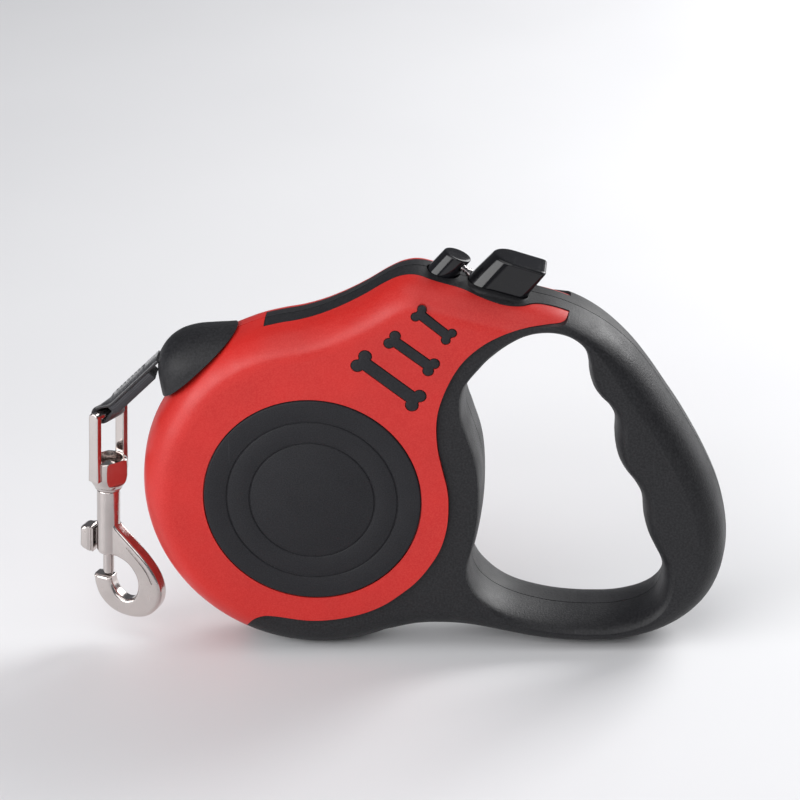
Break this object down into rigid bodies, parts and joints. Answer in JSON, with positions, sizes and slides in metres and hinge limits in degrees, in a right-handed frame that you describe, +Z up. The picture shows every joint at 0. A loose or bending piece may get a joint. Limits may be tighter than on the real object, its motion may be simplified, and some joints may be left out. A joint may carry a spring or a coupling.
{
  "type": "retractable leash",
  "caption": "Retractable leash: round case with a sprung tape spool, D-shaped grip with finger grooves, brake and lock buttons, and a swivel snap hook on a short strap.",
  "frame": {"origin": "on the ground plane under the case, midway along its length and thickness", "axes": "+X towards the handle, -X towards the tape's mouth and the hook, +Y through the thickness to the rear, +Z up"},
  "size_m": [0.1863, 0.03, 0.1198],
  "materials": {
    "red_shell": "satin moulded plastic",
    "black_shell": "soft-touch, fine grain",
    "inlay": "matt moulded plastic",
    "gloss_button": "gloss",
    "plated_metal": "polished nickel plating",
    "spring_steel": "plain",
    "inner_plastic": "moulded",
    "tape": "woven, flat"
  },
  "bodies": {
    "case": {"front_cover": "red_shell", "rear_cover": "red_shell", "front_frame": "black_shell", "rear_frame": "black_shell", "nose_cap": "black_shell", "front_hub_disc": "inlay", "rear_hub_disc": "inlay", "front_bone_large": "inlay", "front_bone_medium": "inlay", "front_bone_small": "inlay", "rear_bone_large": "inlay", "rear_bone_medium": "inlay", "rear_bone_small": "inlay", "axle_post": "spring_steel", "mouth_pin": "spring_steel", "button_guide": "inner_plastic", "brake_spring": "spring_steel", "lock_spring": "spring_steel", "spiral_spring": "spring_steel", "frame_screw_belly": "spring_steel", "frame_screw_heel": "spring_steel", "frame_screw_toe": "spring_steel"},
    "reel": {"spool": "inner_plastic", "spool_bush": "spring_steel", "spring_cover": "inner_plastic", "tape_pack": "tape"},
    "tape": {"tape_run": "tape"},
    "strap": {"strap_end": "tape"},
    "eye": {"swivel_eye": "plated_metal"},
    "hook": {"snap_body": "plated_metal", "swivel_stem": "plated_metal", "bolt_spring": "spring_steel"},
    "bolt": {"thumb_bolt": "plated_metal"},
    "brake": {"brake_button": "gloss_button"},
    "lock": {"lock_button": "gloss_button", "lock_pin": "plated_metal"}
  },
  "joints": [
    {"name": "tape_pull", "type": "slide", "parent": "case", "child": "tape", "axis": [-1, 0, 0], "range_m": [0, 0.03979], "stiffness_N_per_m": 40, "springref_m": -0.05},
    {"name": "spool_spin", "type": "hinge", "parent": "case", "child": "reel", "pos_m": [-0.0334, 0, 0.0494], "axis": [0, -1, 0], "range_deg": [0, 60], "deforming": ["spiral_spring"]},
    {"name": "brake_press", "type": "slide", "parent": "case", "child": "brake", "axis": [-0.6665, 0, -0.7455], "range_m": [0, 0.003], "stiffness_N_per_m": 600, "springref_m": -0.0015, "deforming": ["brake_spring"]},
    {"name": "lock_press", "type": "slide", "parent": "case", "child": "lock", "axis": [-0.6665, 0, -0.7455], "range_m": [0, 0.0009], "stiffness_N_per_m": 500, "springref_m": -0.001, "deforming": ["lock_spring"]},
    {"name": "strap_swing", "type": "hinge", "parent": "tape", "child": "strap", "pos_m": [-0.0758, 0, 0.08805], "axis": [0, 1, 0], "range_deg": [-1.5, 46]},
    {"name": "eye_swing", "type": "hinge", "parent": "strap", "child": "eye", "pos_m": [-0.0918, 0, 0.071], "axis": [0.4988, 0.866, -0.0349], "range_deg": [-2.5, 60]},
    {"name": "hook_swivel", "type": "hinge", "parent": "eye", "child": "hook", "pos_m": [-0.0918, 0, 0.071], "axis": [0.0698, 0, 0.9976], "continuous": true},
    {"name": "bolt_pull", "type": "slide", "parent": "hook", "child": "bolt", "axis": [0.0698, 0, 0.9976], "range_m": [0, 0.0055], "stiffness_N_per_m": 120, "springref_m": -0.003, "deforming": ["bolt_spring"]}
  ],
  "couplings": [
    {"joint": "spool_spin", "follows": "tape_pull", "rad_per_m": 26.316}
  ]
}
